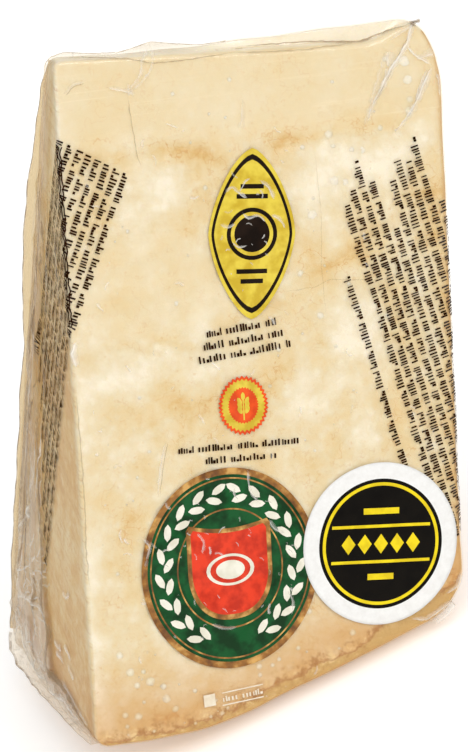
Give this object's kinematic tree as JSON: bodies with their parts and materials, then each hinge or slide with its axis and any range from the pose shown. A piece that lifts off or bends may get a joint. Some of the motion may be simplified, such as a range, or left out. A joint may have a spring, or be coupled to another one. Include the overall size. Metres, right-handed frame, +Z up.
{
  "type": "vacuum-packed grana cheese wedge",
  "caption": "Wedge of hard aged cheese standing on its rind, shrink wrapped in clear printed film with a round paper label.",
  "frame": {"origin": "centre of the bounding box in X and Y, on the plane it stands on", "axes": "+Z up, -Y out of the printed face, +X towards the side that was the wheel's plate; the tip leans 19 degrees towards +X"},
  "size_m": [0.1778, 0.0888, 0.1956],
  "materials": {
    "wrapped_cheese": "glossy",
    "cheese": "satin",
    "clear_film": "glossy",
    "printed_film": "glossy",
    "label_paper": "satin"
  },
  "bodies": {
    "root": {"sealed_wedge": "wrapped_cheese", "round_label": "label_paper"}
  },
  "joints": []
}
